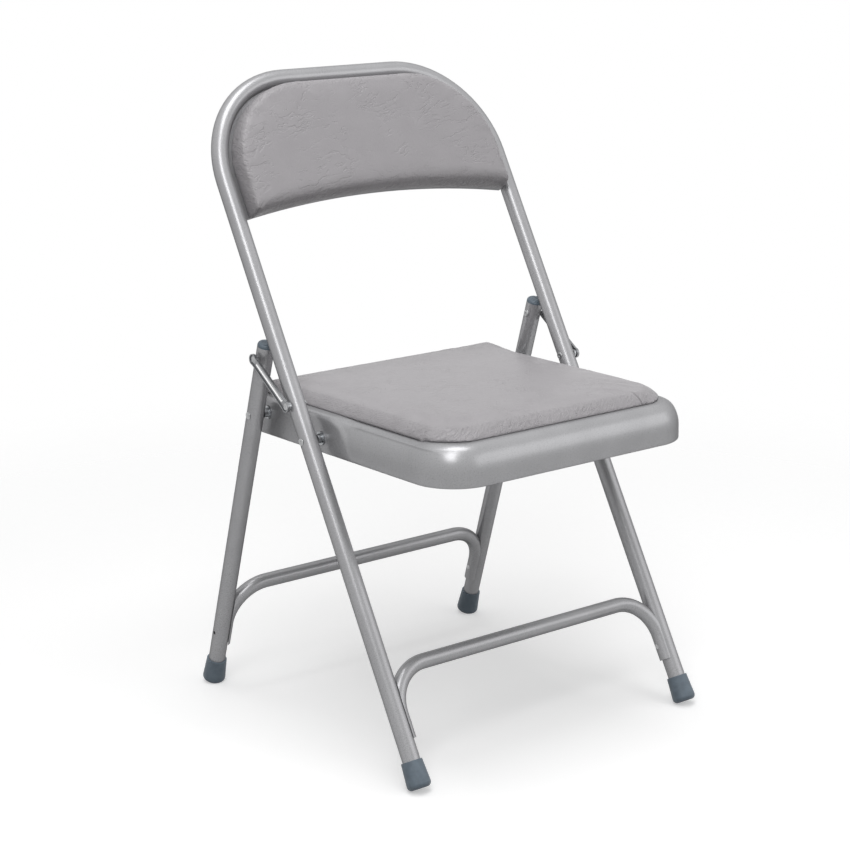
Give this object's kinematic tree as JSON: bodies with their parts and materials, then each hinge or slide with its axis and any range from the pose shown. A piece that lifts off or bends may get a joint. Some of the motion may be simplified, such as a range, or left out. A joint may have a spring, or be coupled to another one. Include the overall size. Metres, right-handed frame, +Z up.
{
  "type": "folding chair",
  "caption": "Padded folding chair: bent-tube front frame with padded back, braced rear legs and a pressed steel seat pan with a cushion; the seat swings up and the legs fold flat.",
  "frame": {"origin": "on the floor, under the middle of the chair's overall box", "axes": "+Z is up, the chair faces -Y, and X runs across it with the left side, as seen from the front, at -X"},
  "size_m": [0.4752, 0.4962, 0.8055],
  "materials": {
    "painted_steel": "silver-grey metallic enamel, semi-gloss",
    "vinyl": "mid-grey upholstery vinyl, soft sheen, fine grain",
    "fibreboard": "bare hardboard, hidden under the pads",
    "moulded_plastic": "slate blue-grey moulded feet and plugs, matte",
    "rivet_steel": "plated rivets and screws, satin",
    "bush_steel": "plain steel bushes and spacers, satin"
  },
  "bodies": {
    "front_frame": {"front_frame_tube": "painted_steel", "front_cross_brace": "painted_steel", "front_brace_rivets": "rivet_steel", "front_glide_left": "moulded_plastic", "front_glide_right": "moulded_plastic", "back_panel": "painted_steel", "back_board": "fibreboard", "back_pad": "vinyl", "back_screws": "rivet_steel", "seat_pivot_rivets": "rivet_steel", "seat_pivot_bushes": "bush_steel", "link_pivot_rivets": "rivet_steel", "link_pivot_spacers": "bush_steel"},
    "seat": {"seat_pan": "painted_steel", "hinge_plate_left": "painted_steel", "hinge_plate_right": "painted_steel", "seat_board": "fibreboard", "seat_cushion": "vinyl", "seat_screws": "rivet_steel"},
    "rear_legs": {"rear_leg_left": "painted_steel", "rear_leg_right": "painted_steel", "rear_cross_brace": "painted_steel", "rear_brace_rivets": "rivet_steel", "rear_plug_left": "moulded_plastic", "rear_plug_right": "moulded_plastic", "rear_glide_left": "moulded_plastic", "rear_glide_right": "moulded_plastic", "leg_pivot_rivets": "rivet_steel", "leg_pivot_bushes": "bush_steel", "stud_rivets": "rivet_steel"},
    "link_arm_left": {"link_left": "painted_steel", "link_stud_left": "rivet_steel"},
    "link_arm_right": {"link_right": "painted_steel", "link_stud_right": "rivet_steel"}
  },
  "joints": [
    {"name": "seat_fold", "type": "hinge", "parent": "front_frame", "child": "seat", "pos_m": [0, -0.00183, 0.38408], "axis": [-1, 0, 0], "range_deg": [0, 111.2]},
    {"name": "rear_leg_fold", "type": "hinge", "parent": "seat", "child": "rear_legs", "pos_m": [0, 0.11389, 0.39322], "axis": [1, 0, 0], "range_deg": [0, 64.73]},
    {"name": "link_left_pivot", "type": "hinge", "parent": "front_frame", "child": "link_arm_left", "pos_m": [-0.235, 0.02171, 0.42453], "axis": [-1, 0, 0], "range_deg": [0, 135.01]},
    {"name": "link_right_pivot", "type": "hinge", "parent": "front_frame", "child": "link_arm_right", "pos_m": [0.235, 0.02171, 0.42453], "axis": [-1, 0, 0], "range_deg": [0, 135.01]}
  ],
  "couplings": [
    {"joint": "rear_leg_fold", "follows": "seat_fold", "ratio": 0.5812},
    {"joint": "link_left_pivot", "follows": "seat_fold", "ratio": 1.2132},
    {"joint": "link_right_pivot", "follows": "seat_fold", "ratio": 1.2132}
  ]
}
